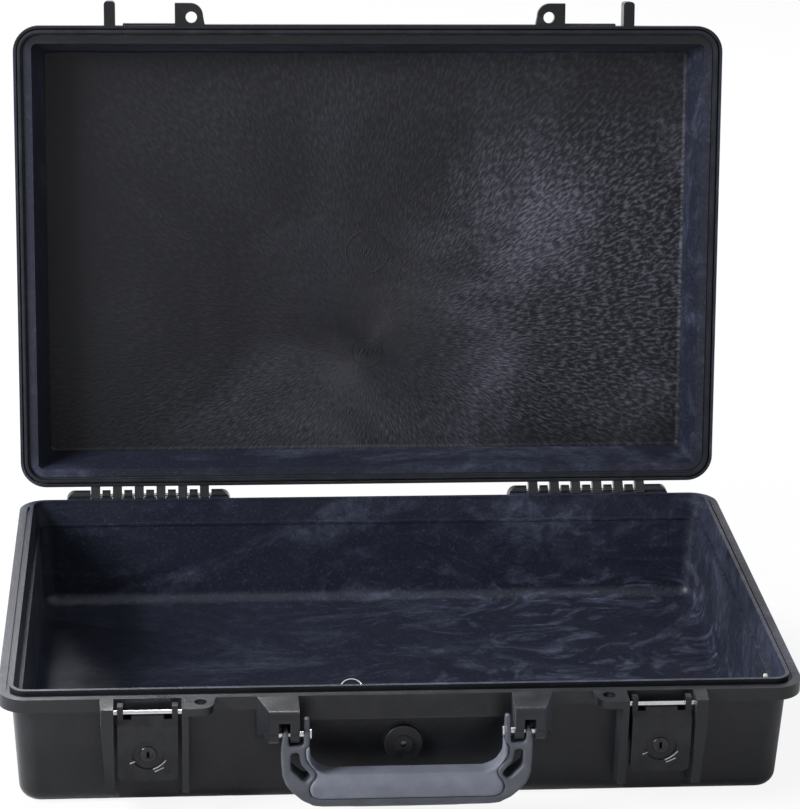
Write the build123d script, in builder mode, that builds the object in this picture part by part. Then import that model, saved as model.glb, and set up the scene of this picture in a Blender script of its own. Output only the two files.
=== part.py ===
from build123d import *
from math import cos, sin, radians
import os

os.makedirs("parts", exist_ok=True)

# A laptop hard case standing open: a deep tray, a shallow lid leaning back on
# its hinge stops, two key-lock draw latches, a folding carry handle, a pressure
# valve and a pair of keys. X runs along the front, Y from front to back and Z up.
# The origin is the middle of the tray's underside. All lengths are millimetres.

# Outline of the two flanges where the halves meet
case_width = 505.0
case_depth = 332.0
flange_radius = 18.5
flange_reach = 8.2
base_flange_height = 8.7
lid_flange_height = 8.4
closing_gap = 0.3

# Tray
base_height = 78.0
base_draft = 3.5
base_wall = 4.4
floor_thickness = 3.4
wall_radius = 14.0
base_bottom_radius = 10.0
base_floor_radius = 9.0
ledge_drop = 14.0
ledge_bead = 0.7
ledge_bead_height = 1.6
upper_wall_inset = 11.2

# Lid
lid_height = 38.0
lid_draft = 9.0
lid_wall = 4.2
lid_top_thickness = 3.8
lid_top_radius = 9.0
lid_ceiling_radius = 3.0
lid_corner_radius = 10.0
lid_opening_radius = 4.0
lid_open_angle = 99.1
panel_inset = 30.0
panel_step = 1.2
lid_nose = 0.9
lid_post_reach = 17.2
lid_post_width = 7.8
lid_post_height = 13.0
lid_post_round = 2.6

# Sealing rim, from the outside inwards
land_width = 5.2
drain_width = 2.2
drain_depth = 1.5
tongue_width = 2.4
tongue_height = 2.8
skirt_width = 1.9
gasket_groove_width = 5.0
gasket_groove_depth = 4.6
gasket_foot_height = 1.2
gasket_bead_width = 2.5
gasket_bead_offset = 0.9
lip_clearance = 0.4

# Hinges
hinge_offset = 6.5
hinge_rise = 0.3
hinge_end_inset = 32.5
hinge_span = 118.6
first_finger_offset = 18.8
finger_pitch = 15.75
finger_count = 6
finger_width = 6.6
finger_gap = 1.65
outer_finger_gap = 0.4
knuckle_radius = 4.0
stop_tail = 7.0
stop_height = 6.0
hinge_pin_radius = 1.25
hinge_pin_inset = 2.5
hinge_block_drop = 17.0
hinge_block_round = 8.5
hinge_sill_reach = 4.0
hinge_sill_depth = 5.0
hinge_sill_gap = 0.2
running_gap = 0.05

# Latches
latch_end_inset = 92.9
latch_bay_width = 42.0
lever_width = 37.2
latch_pin_radius = 1.5
latch_pin_reach = 8.0
latch_pin_drop = 5.5
latch_pin_seat = 3.2
latch_pin_inset = 0.6
outer_rib_width = 8.6
outer_rib_foot_width = 5.2
outer_rib_flare = 1.2
inner_rib_width = 4.2
rib_reach = 16.0
rib_lean = 3.5
rib_foot_drop = 9.0
rib_foot_slope = 8.0
ear_thickness = 3.6
ear_half_depth = 3.0
ear_rise = 5.2
lever_skin = 3.4
lever_brow_reach = 2.8
lever_brow_drop = 3.5
lever_edge_reach = 6.8
lever_edge_drop = 6.7
lever_web_drop = 6.0
lever_block_drop = 9.0
lever_crease_reach = 7.0
lever_crease_drop = 22.5
lever_bottom_reach = 5.0
lever_bottom_drop = 44.5
lever_corner = 4.0
lever_tongue_width = 20.0
lever_rim_depth = 2.4
lever_flange_half = 5.0
lever_rim_width = 1.8
claw_pin_back = 4.5
claw_pin_drop = 12.5
claw_pin_radius = 1.25
claw_eye_radius = 2.5
claw_hook_drop = 31.6
claw_hook_height = 3.0
claw_width = 20.8
claw_thickness = 3.0
claw_lean = 2.0
claw_hook_reach = 6.5
claw_window_width = 14.0
catch_rise = 1.5
catch_outer_offset = 15.6
pad_thickness = 1.2
pad_bottom_z = 5.0

# Lock in each latch lever
lock_drop = 26.3
lock_bezel_radius = 5.2
lock_bezel_thickness = 0.9
lock_barrel_radius = 4.6
lock_plug_radius = 3.0
lock_dish_radius = 10.0
lock_dish_depth = 2.2
cam_thickness = 1.2
cam_length = 13.6
cam_width = 6.0
lock_nut_thickness = 2.0
lock_nut_size = 7.0
lock_tail_radius = 1.8
key_slot_width = 1.8
key_slot_height = 4.4
keeper_gap = 0.3
keeper_height = 10.0
keeper_lip = 5.4
keeper_post = 2.4
keeper_lip_depth = 3.2

# Padlock tabs beside the latches
padlock_offset = 32.6
padlock_back = 6.0
padlock_hole_radius = 4.0
tab_end_offset = 42.2
tab_thickness = 5.0
tab_slope = 1.3
tab_round = 9.0

# Handle and its brackets
handle_pivot_y = 18.5
handle_pivot_drop = 17.2
bracket_inner_x = 66.6
bracket_outer_x = 92.3
bracket_front_x = 84.5
bracket_reach = 25.4
bracket_lip_height = 6.6
bracket_nose_radius = 5.0
bracket_foot_drop = 34.0
bracket_prong_width = 5.6
bracket_slot_width = 7.2
apron_height = 16.5
handle_pin_radius = 2.0
handle_pin_head_radius = 3.2
handle_pin_head = 1.0
pin_boss_drop = 1.5
handle_back_swing = 20.0
slot_clearance = 0.6
arm_radius = 5.4
inner_arm_inner_x = 60.2
inner_arm_outer_x = 64.0
outer_arm_inner_x = 73.4
handle_outer_x = 77.8
inner_arm_rise = 11.2
arm_corner = 1.2
crossbar_drop = 6.0
handle_bottom_drop = 48.6
frame_band_drop = 40.5
frame_band_depth = 18.0
frame_foot_half = 4.5
frame_foot_bulge_half = 7.6
frame_foot_bulge_rise = 3.0
frame_flare_top_drop = 14.8
frame_flare_low_drop = 34.8
grip_top_drop = 25.2
grip_corner_radius = 14.0
grip_depth = 19.0
grip_bar_height = 12.0
grip_bar_depth = 6.0
grip_round = 8.0
grip_end_depth = 12.6

# Pressure valve in the front wall, under the nameplate
valve_drop = 36.8
valve_flange_radius = 12.2
valve_flange_thickness = 3.0
valve_barrel_radius = 7.5
valve_bore_radius = 3.6
valve_hub_radius = 5.7
valve_hub_height = 1.2
valve_nut_size = 22.0
valve_nut_thickness = 4.0
valve_barrel_length = 14.0
vent_radius = 2.2
membrane_thickness = 0.4
seal_ring_radius = 0.9
valve_seat_rise = 1.2

# Blank nameplate set in the apron between the handle brackets
nameplate_width = 102.4
nameplate_height = 14.4
nameplate_thickness = 1.2
nameplate_edge = 1.2

# Two keys on a ring, resting on the tray floor
key_ring_x = -23.5
key_ring_y = -15.0
key_ring_radius = 8.0
key_ring_wire = 0.6
key_ring_tilt = 40.0
key_bow_radius = 9.5
key_blade_length = 22.0
key_blade_width = 4.2
key_thickness = 1.6
key_hole_radius = 3.2
key_hole_offset = 5.0
key_slope = 7.6
key_turns = (170.0, 300.0)

# Places worked out from the sizes above
front_y = -case_depth / 2
back_y = case_depth / 2
flange_bottom_z = base_height - base_flange_height
hinge_y = back_y + hinge_offset
hinge_z = base_height + hinge_rise
rim_width = land_width + drain_width + tongue_width
hinge_outer_x = case_width / 2 - hinge_end_inset
hinge_inner_x = hinge_outer_x - hinge_span
first_finger_x = hinge_inner_x + first_finger_offset
latch_x = case_width / 2 - latch_end_inset
padlock_x = latch_x - padlock_offset
tab_inner_x = latch_x - tab_end_offset
latch_pin_y = front_y - latch_pin_reach
latch_pin_z = base_height - latch_pin_drop
claw_pin_y = latch_pin_y + claw_pin_back
claw_pin_z = latch_pin_z - claw_pin_drop
claw_hook_z = claw_pin_z - claw_hook_drop
lever_block_z = latch_pin_z - lever_block_drop
lever_crease_z = latch_pin_z - lever_crease_drop
lever_bottom_z = latch_pin_z - lever_bottom_drop
lock_z = latch_pin_z - lock_drop
rib_foot_z = lever_bottom_z - rib_foot_drop
handle_y = front_y - handle_pivot_y
handle_pivot_z = base_height - handle_pivot_drop
valve_z = base_height - valve_drop
bay_half = latch_bay_width / 2
wall_front_limit = front_y + flange_reach + base_draft
hinge_middle_x = (hinge_inner_x + hinge_outer_x) / 2
hinge_pin_length = hinge_outer_x - hinge_inner_x - 2 * hinge_pin_inset
hinge_bore_length = hinge_pin_length + hinge_pin_inset
hinge_bore_middle_x = hinge_middle_x + hinge_pin_inset / 2
latch_pin_length = latch_bay_width + inner_rib_width + latch_pin_seat
latch_pin_middle_x = latch_x + (latch_pin_seat - inner_rib_width) / 2
handle_pin_end_x = bracket_front_x - handle_pin_head
handle_pin_length = handle_pin_end_x - inner_arm_inner_x
handle_pin_middle_x = (handle_pin_end_x + inner_arm_inner_x) / 2
lever_face_y = latch_pin_y - lever_crease_reach
lever_back_y = lever_face_y + lever_skin
keeper_post_x = lever_width / 2 - lever_rim_width - keeper_gap
lever_back_low_y = latch_pin_y - lever_bottom_reach + lever_skin
lever_back_slope = (lever_back_low_y - lever_back_y) / (lever_crease_z - lever_bottom_z)
keeper_drop = lever_crease_z - lock_z + keeper_height / 2
keeper_front_y = lever_back_y + lever_back_slope * keeper_drop + keeper_gap
keeper_back_y = keeper_front_y + keeper_lip_depth
cam_front_y = keeper_back_y + keeper_gap
nameplate_z = base_height - apron_height / 2


def base_wall_inset(z):
    """How far the tray's outer wall stands inside the flange outline at height z."""
    return flange_reach + base_draft * (1 - z / flange_bottom_z)


def front_wall_y(z):
    return front_y + base_wall_inset(z)


valve_seat_y = front_wall_y(valve_z) - valve_seat_rise
valve_nut_seat_y = front_wall_y(valve_z) + base_wall + valve_seat_rise


def rounded_outline(inset, radius, mode=Mode.ADD):
    """The flange outline moved inwards, with corners of the given radius."""
    RectangleRounded(case_width - 2 * inset, case_depth - 2 * inset, radius, mode=mode)


def ring_outline(outer_inset, inner_inset):
    """A band of even width that follows the flange outline."""
    rounded_outline(outer_inset, flange_radius - outer_inset)
    rounded_outline(inner_inset, flange_radius - inner_inset, Mode.SUBTRACT)


# The lid is drawn as if closed, on a frame whose origin lies over the middle of
# the tray at the parting plane, and that frame is turned open about the hinge.
lid_cos = cos(radians(lid_open_angle))
lid_sin = sin(radians(lid_open_angle))
lid_frame = Plane(
    origin=(
        0,
        hinge_y - hinge_y * lid_cos - hinge_rise * lid_sin,
        hinge_z + hinge_y * lid_sin - hinge_rise * lid_cos,
    ),
    x_dir=(1, 0, 0),
    z_dir=(0, lid_sin, lid_cos),
)


def side_plane(frame, x):
    """The plane at x whose sketch axes are the frame's own Y and Z."""
    start = frame.from_local_coords((x, 0, 0))
    return Plane(origin=start, x_dir=frame.y_dir, z_dir=frame.x_dir)


def front_plane(y):
    """A plane facing the viewer: sketch X is the case's X and sketch Y is up."""
    return Plane(origin=(0, y, 0), x_dir=(1, 0, 0), z_dir=(0, -1, 0))


def write(name, piece):
    """Labels a piece and writes it to its own file."""
    piece.label = name
    export_step(piece, f"parts/{name}.step")


def write_pair(name, piece):
    """Writes a right-hand piece and its mirror image on the left."""
    write(f"{name}_right", piece)
    write(f"{name}_left", mirror(piece, about=Plane.YZ, mode=Mode.PRIVATE))


# Space inside the tray: a wide upper part down to a ledge, then the main well
ledge_z = base_height - ledge_drop
with BuildPart() as tray_space:
    with BuildSketch(Plane.XY.offset(floor_thickness)):
        rounded_outline(base_wall_inset(floor_thickness) + base_wall, wall_radius - base_wall)
    with BuildSketch(Plane.XY.offset(ledge_z)):
        rounded_outline(base_wall_inset(ledge_z) + base_wall, wall_radius - base_wall)
    loft(ruled=True)
    fillet(tray_space.edges().group_by(Axis.Z)[0], base_floor_radius)
    with BuildSketch(Plane.XY.offset(ledge_z - ledge_bead_height)):
        rounded_outline(upper_wall_inset, wall_radius)
        well_inset = base_wall_inset(ledge_z - ledge_bead_height) + base_wall
        rounded_outline(well_inset + ledge_bead, wall_radius - base_wall, Mode.SUBTRACT)
    extrude(amount=ledge_bead_height, mode=Mode.SUBTRACT)
    with BuildSketch(Plane.XY.offset(ledge_z)):
        rounded_outline(upper_wall_inset, flange_radius - rim_width)
    with BuildSketch(Plane.XY.offset(base_height)):
        rounded_outline(rim_width, flange_radius - rim_width)
    loft(ruled=True)
    with BuildSketch(Plane.XY.offset(base_height)):
        rounded_outline(rim_width, flange_radius - rim_width)
    extrude(amount=tongue_height)


wall_middle_y = back_y - flange_reach - base_wall / 2


def hinge_fin_profile():
    """Side view of a tray hinge fin: a knuckle on a bracket behind the flange."""
    Polygon(
        (wall_middle_y, base_height),
        (hinge_y, base_height),
        (hinge_y + knuckle_radius, hinge_z),
        (hinge_y + knuckle_radius, hinge_z - knuckle_radius),
        (back_y, base_height - hinge_block_drop + base_wall),
        (wall_middle_y, base_height - hinge_block_drop),
        align=None,
    )
    with Locations((hinge_y, hinge_z)):
        Circle(knuckle_radius)


def fin_spans():
    """From and to, along X, of each tray hinge fin on the right-hand side."""
    fingers = [first_finger_x + n * finger_pitch for n in range(finger_count)]
    half = finger_width / 2 + finger_gap
    spans = [(hinge_inner_x, fingers[0] - half)]
    for near, far in zip(fingers, fingers[1:]):
        spans.append((near + half, far - half))
    spans.append((fingers[-1] + finger_width / 2 + outer_finger_gap, hinge_outer_x))
    return spans


with BuildPart() as hinge_fins:
    for start, end in fin_spans():
        with BuildSketch(Plane.YZ.offset(start)):
            hinge_fin_profile()
        extrude(amount=end - start)
    for n in range(finger_count):
        for side in (-1, 1):
            near = side * (finger_width / 2 + hinge_sill_gap)
            far = side * (finger_width / 2 + 2 * finger_gap)
            start = first_finger_x + n * finger_pitch + min(near, far)
            with BuildSketch(Plane.YZ.offset(start)):
                Polygon(
                    (wall_middle_y, base_height),
                    (back_y + hinge_sill_reach, base_height),
                    (back_y + hinge_sill_reach, base_height - hinge_sill_depth / 2),
                    (back_y, base_height - hinge_sill_depth),
                    (wall_middle_y, base_height - hinge_sill_depth),
                    align=None,
                )
            extrude(amount=abs(far - near))
    block_width = hinge_outer_x - hinge_inner_x
    block_height = hinge_block_drop + hinge_rise + knuckle_radius
    block_middle_z = hinge_z + knuckle_radius - block_height / 2
    with BuildSketch(front_plane(wall_middle_y)):
        with Locations((hinge_middle_x, block_middle_z)):
            RectangleRounded(block_width, block_height, hinge_block_round)
    extrude(amount=-(hinge_y + knuckle_radius - wall_middle_y), mode=Mode.INTERSECT)


def padlock_tab_outline(side, outer_x, reach):
    """Plan of a padlock tab, straight on the latch side, sloping and round on the other."""
    round_x = tab_inner_x + tab_slope + tab_round
    round_y = front_y - reach + tab_round
    Polygon(
        (side * outer_x, front_y + flange_reach),
        (side * outer_x, front_y - reach),
        (side * round_x, front_y - reach),
        (side * (tab_inner_x + tab_slope), round_y),
        (side * tab_inner_x, front_y),
        (side * tab_inner_x, front_y + flange_reach),
        align=None,
    )
    with Locations((side * round_x, round_y)):
        Circle(tab_round)


# Ribs that guard the right-hand latch, with the padlock tab and lock keeper
inner_rib_x = latch_x - bay_half
outer_rib_x = latch_x + bay_half


def rib_profile():
    """Side view of a latch rib, with a foot that slopes back to the wall."""
    Polygon(
        (front_y + flange_reach + base_draft, base_height),
        (front_y - rib_reach, base_height),
        (front_y - rib_reach + rib_lean, rib_foot_z),
        (front_wall_y(rib_foot_z), rib_foot_z - rib_foot_slope),
        (front_y + flange_reach + base_draft, rib_foot_z - rib_foot_slope),
        align=None,
    )


with BuildPart() as latch_bay:
    with BuildSketch(Plane.YZ.offset(inner_rib_x - inner_rib_width)):
        rib_profile()
    extrude(amount=inner_rib_width)
    with BuildSketch(Plane.YZ.offset(outer_rib_x)):
        rib_profile()
    extrude(amount=outer_rib_width)
    with BuildSketch(Plane.XY.offset(rib_foot_z - rib_foot_slope)):
        Polygon(
            (outer_rib_x + outer_rib_width, front_y),
            (outer_rib_x + outer_rib_width, front_y - rib_reach),
            (outer_rib_x + outer_rib_width - outer_rib_flare, front_y - rib_reach),
            align=None,
        )
    extrude(amount=base_height, mode=Mode.SUBTRACT)
    with BuildSketch(front_plane(front_y + flange_reach + base_draft)):
        Polygon(
            (outer_rib_x + outer_rib_width, base_height),
            (outer_rib_x + 2 * outer_rib_width, base_height),
            (outer_rib_x + 2 * outer_rib_width, 0),
            (outer_rib_x + outer_rib_foot_width, 0),
            (outer_rib_x + outer_rib_foot_width, rib_foot_z),
            align=None,
        )
    extrude(amount=2 * rib_reach + flange_reach, mode=Mode.SUBTRACT)
    with BuildSketch(Plane.XY.offset(base_height - tab_thickness)):
        padlock_tab_outline(1, inner_rib_x, rib_reach)
    extrude(amount=tab_thickness)
    with BuildSketch(Plane.XY.offset(pad_bottom_z)):
        with Locations((latch_x, front_wall_y(pad_bottom_z) - pad_thickness)):
            Rectangle(lever_width, base_wall, align=(Align.CENTER, Align.MIN))
    with BuildSketch(Plane.XY.offset(flange_bottom_z)):
        with Locations((latch_x, front_wall_y(flange_bottom_z) - pad_thickness)):
            Rectangle(lever_width, base_wall, align=(Align.CENTER, Align.MIN))
    loft(ruled=True)
    with BuildSketch(Plane.XY.offset(lock_z - keeper_height / 2)):
        Polygon(
            (latch_x - keeper_post_x, front_wall_y(lock_z) + base_wall / 2),
            (latch_x - keeper_post_x, keeper_front_y),
            (latch_x - keeper_post_x + keeper_lip, keeper_front_y),
            (latch_x - keeper_post_x + keeper_lip, keeper_back_y),
            (latch_x - keeper_post_x + keeper_post, keeper_back_y),
            (latch_x - keeper_post_x + keeper_post, front_wall_y(lock_z) + base_wall / 2),
            align=None,
        )
    extrude(amount=keeper_height)
    with Locations((latch_pin_middle_x, latch_pin_y, latch_pin_z)):
        Cylinder(latch_pin_radius, latch_pin_length, rotation=(0, 90, 0), mode=Mode.SUBTRACT)
    with Locations((padlock_x, front_y - padlock_back, base_height)):
        Cylinder(padlock_hole_radius, 4 * tab_thickness, mode=Mode.SUBTRACT)


# Right-hand handle bracket: a corbel with a roof, a slot for the outer arm and
# a prong between the two arms, bored for the handle pin
bracket_slot_x = bracket_inner_x + bracket_prong_width
bracket_foot_z = base_height - bracket_foot_drop
slot_reach = arm_radius + slot_clearance
with BuildPart() as handle_bracket:
    with BuildSketch(Plane.XY.offset(bracket_foot_z)):
        Polygon(
            (bracket_inner_x, wall_front_limit),
            (bracket_inner_x, front_y - bracket_reach),
            (bracket_front_x, front_y - bracket_reach),
            (bracket_outer_x, front_y),
            (bracket_outer_x, wall_front_limit),
            align=None,
        )
    extrude(amount=bracket_foot_drop)
    with BuildSketch(Plane.YZ.offset(bracket_inner_x)):
        Polygon(
            (wall_front_limit, base_height),
            (front_y - bracket_reach, base_height),
            (front_y - bracket_reach, base_height - bracket_lip_height),
            (handle_y - arm_radius, handle_pivot_z + arm_radius / 2),
            (handle_y, handle_pivot_z),
            (handle_y + arm_radius, handle_pivot_z - pin_boss_drop),
            (front_wall_y(bracket_foot_z), bracket_foot_z),
            (wall_front_limit, bracket_foot_z),
            align=None,
        )
        with Locations((handle_y, handle_pivot_z)):
            Circle(arm_radius)
    extrude(amount=bracket_outer_x - bracket_inner_x, mode=Mode.INTERSECT)
    front_edges = handle_bracket.edges().filter_by(Axis.X).group_by(Axis.Y)[0]
    fillet(front_edges.sort_by(Axis.Z)[-1], bracket_nose_radius)
    with BuildSketch(Plane.YZ.offset(bracket_slot_x)):
        with Locations((handle_y + slot_reach, base_height - bracket_lip_height)):
            Rectangle(2 * bracket_reach, 2 * bracket_foot_drop, align=(Align.MAX, Align.MAX))
        with Locations(Location((handle_y, handle_pivot_z, 0), (0, 0, handle_back_swing))):
            Rectangle(2 * slot_reach, 2 * bracket_foot_drop, align=(Align.CENTER, Align.MAX))
    extrude(amount=bracket_slot_width, mode=Mode.SUBTRACT)
    with Locations((handle_pin_middle_x, handle_y, handle_pivot_z)):
        Cylinder(handle_pin_radius, handle_pin_length, rotation=(0, 90, 0), mode=Mode.SUBTRACT)


# Tray: tub, flange, sealing tongue, hinge fins, latch bays, handle brackets
with BuildPart() as base_shell:
    with BuildSketch(Plane.XY):
        rounded_outline(base_wall_inset(0), wall_radius)
    with BuildSketch(Plane.XY.offset(flange_bottom_z)):
        rounded_outline(base_wall_inset(flange_bottom_z), wall_radius)
    loft(ruled=True)
    fillet(base_shell.edges().group_by(Axis.Z)[0], base_bottom_radius)
    with BuildSketch(Plane.XY.offset(flange_bottom_z)):
        rounded_outline(0, flange_radius)
    extrude(amount=base_flange_height)
    with BuildSketch(Plane.XY.offset(base_height)):
        ring_outline(land_width + drain_width, rim_width)
    extrude(amount=tongue_height)
    with BuildSketch(Plane.XY.offset(base_height - apron_height)):
        with Locations((0, front_y)):
            Rectangle(
                2 * bracket_inner_x,
                flange_reach + base_wall / 2,
                align=(Align.CENTER, Align.MIN),
            )
    extrude(amount=apron_height)
    with Locations((0, valve_seat_y, valve_z)):
        Cylinder(
            valve_flange_radius + valve_seat_rise,
            valve_seat_rise + base_wall,
            rotation=(90, 0, 0),
            align=(Align.CENTER, Align.CENTER, Align.MAX),
        )
    for piece in (hinge_fins, latch_bay, handle_bracket):
        add(piece.part)
        add(mirror(piece.part, about=Plane.YZ, mode=Mode.PRIVATE))
    with BuildSketch(Plane.XY.offset(base_height)):
        ring_outline(land_width, land_width + drain_width)
    extrude(amount=-drain_depth, mode=Mode.SUBTRACT)
    add(tray_space.part, mode=Mode.SUBTRACT)
    with Locations((0, valve_nut_seat_y, valve_z)):
        Cylinder(
            valve_flange_radius + valve_seat_rise,
            base_wall / 2 + valve_seat_rise,
            rotation=(90, 0, 0),
            align=(Align.CENTER, Align.CENTER, Align.MIN),
        )
    with Locations((0, front_wall_y(valve_z), valve_z)):
        Cylinder(valve_barrel_radius, 4 * base_wall, rotation=(90, 0, 0), mode=Mode.SUBTRACT)
    with BuildSketch(front_plane(front_y)):
        with Locations((0, nameplate_z)):
            RectangleRounded(nameplate_width, nameplate_height, nameplate_edge)
    extrude(amount=-nameplate_thickness, mode=Mode.SUBTRACT)
    for side in (-1, 1):
        with Locations((side * hinge_bore_middle_x, hinge_y, hinge_z)):
            Cylinder(hinge_pin_radius, hinge_bore_length, rotation=(0, 90, 0), mode=Mode.SUBTRACT)
write("base_shell", base_shell.part)


# Lid, drawn on its own frame
def lid_level(z):
    return lid_frame.offset(z)


def lid_wall_inset(z):
    """How far the lid's outer wall stands inside the flange outline at lid height z."""
    return flange_reach + lid_draft * (z - lid_flange_height) / (lid_height - lid_flange_height)


lid_axis = Axis(lid_frame.origin, lid_frame.z_dir)
lip_bottom_z = tongue_height + lip_clearance
lip_inset = skirt_width + gasket_groove_width
ceiling_z = lid_height - lid_top_thickness
catch_width = latch_x + catch_outer_offset - inner_rib_x

with BuildPart() as lid_space:
    with BuildSketch(lid_level(lip_bottom_z - 1)):
        rounded_outline(lid_wall_inset(lid_flange_height) + lid_wall, lid_opening_radius)
    with BuildSketch(lid_level(ceiling_z)):
        rounded_outline(lid_wall_inset(ceiling_z) + lid_wall, lid_opening_radius)
    loft(ruled=True)
    fillet(lid_space.edges().group_by(lid_axis)[-1], lid_ceiling_radius)


def when_closed(dy, dz):
    """Closed-lid place of the point that lies at dy, dz from the hinge when open."""
    return (hinge_y + dy * lid_cos - dz * lid_sin, hinge_rise + dy * lid_sin + dz * lid_cos)


def finger_profile():
    """Side view of a lid hinge finger: web, knuckle and the tail that stops the lid.

    The stop face comes to stand upright behind the tray flange when the lid is open.
    """
    Polygon(
        (back_y - skirt_width, closing_gap),
        (back_y - skirt_width, lid_flange_height),
        (hinge_y, hinge_rise + knuckle_radius),
        (hinge_y + stop_tail, hinge_rise + knuckle_radius / 2),
        when_closed(closing_gap - hinge_offset, -stop_height),
        when_closed(closing_gap - hinge_offset, 0),
        (hinge_y - knuckle_radius / 2, hinge_rise - knuckle_radius + closing_gap),
        (back_y + closing_gap, closing_gap),
        align=None,
    )
    with Locations((hinge_y, hinge_rise)):
        Circle(knuckle_radius)


with BuildPart() as lid_fingers:
    for n in range(finger_count):
        for side in (-1, 1):
            middle = side * (first_finger_x + n * finger_pitch)
            with BuildSketch(side_plane(lid_frame, middle)):
                finger_profile()
            extrude(amount=finger_width / 2, both=True)

with BuildPart() as lid_shell:
    with BuildSketch(lid_level(lid_flange_height)):
        rounded_outline(lid_wall_inset(lid_flange_height), lid_corner_radius)
    with BuildSketch(lid_level(lid_height)):
        rounded_outline(lid_wall_inset(lid_height), lid_corner_radius)
    loft(ruled=True)
    fillet(lid_shell.edges().group_by(lid_axis)[-1], lid_top_radius)
    with BuildSketch(lid_level(closing_gap)):
        rounded_outline(0, flange_radius)
    extrude(amount=lid_flange_height - closing_gap)
    with BuildSketch(lid_level(lid_height)):
        rounded_outline(panel_inset, wall_radius)
    extrude(amount=-panel_step, mode=Mode.SUBTRACT)
    for side in (-1, 1):
        with BuildSketch(lid_level(closing_gap)):
            padlock_tab_outline(side, inner_rib_x, rib_reach)
            with Locations((side * padlock_x, front_y - padlock_back)):
                Circle(padlock_hole_radius, mode=Mode.SUBTRACT)
        extrude(amount=tab_thickness)
        with BuildSketch(lid_level(closing_gap)):
            with Locations((side * (outer_rib_x + lid_post_width / 2), front_y - lid_post_reach)):
                RectangleRounded(
                    lid_post_width,
                    lid_post_reach + flange_reach + lid_wall,
                    lid_post_round,
                    align=(Align.CENTER, Align.MIN),
                )
        extrude(amount=lid_post_height - closing_gap)
        with BuildSketch(lid_level(2 * catch_rise)):
            with Locations((side * (inner_rib_x + catch_width / 2), front_y)):
                Rectangle(catch_width, 2 * catch_rise)
        extrude(amount=lid_flange_height - catch_rise)
    with BuildSketch(lid_level(closing_gap)):
        with Locations((0, front_y - lid_nose)):
            Rectangle(2 * inner_rib_x, 2 * lid_nose, align=(Align.CENTER, Align.MIN))
    extrude(amount=lid_flange_height - closing_gap)
    add(lid_fingers.part)
    with BuildSketch(lid_level(closing_gap)):
        rounded_outline(lip_inset, flange_radius - lip_inset)
    extrude(amount=lip_bottom_z - closing_gap, mode=Mode.SUBTRACT)
    with BuildSketch(lid_level(closing_gap)):
        ring_outline(skirt_width, lip_inset)
    extrude(amount=gasket_groove_depth, mode=Mode.SUBTRACT)
    add(lid_space.part, mode=Mode.SUBTRACT)
    for side in (-1, 1):
        start = lid_frame.from_local_coords((side * hinge_middle_x, hinge_y, hinge_rise))
        with Locations(start):
            Cylinder(
                hinge_pin_radius + running_gap,
                hinge_pin_length,
                rotation=(0, 90, 0),
                mode=Mode.SUBTRACT,
            )
write("lid_shell", lid_shell.part)

with BuildPart() as lid_gasket:
    groove_top = closing_gap + gasket_groove_depth
    with BuildSketch(lid_level(groove_top)):
        ring_outline(skirt_width, lip_inset)
    extrude(amount=-gasket_foot_height)
    bead_inset = skirt_width + gasket_bead_offset
    with BuildSketch(lid_level(groove_top - gasket_foot_height)):
        ring_outline(bead_inset, bead_inset + gasket_bead_width)
    extrude(amount=-(groove_top - gasket_foot_height - 2 * closing_gap))
write("lid_gasket", lid_gasket.part)


# Hinge pins, pressed into the tray's knuckles
with BuildPart() as hinge_pin:
    with Locations((hinge_middle_x, hinge_y, hinge_z)):
        Cylinder(hinge_pin_radius, hinge_pin_length, rotation=(0, 90, 0))
write_pair("hinge_pin", hinge_pin.part)

# Pins of the right-hand latch
with BuildPart() as latch_pin:
    with Locations((latch_pin_middle_x - latch_pin_inset / 2, latch_pin_y, latch_pin_z)):
        Cylinder(latch_pin_radius, latch_pin_length - latch_pin_inset, rotation=(0, 90, 0))
write_pair("latch_pin", latch_pin.part)

with BuildPart() as claw_pin:
    with Locations((latch_x, claw_pin_y, claw_pin_z)):
        Cylinder(claw_pin_radius, lever_width, rotation=(0, 90, 0))
write_pair("claw_pin", claw_pin.part)


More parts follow.
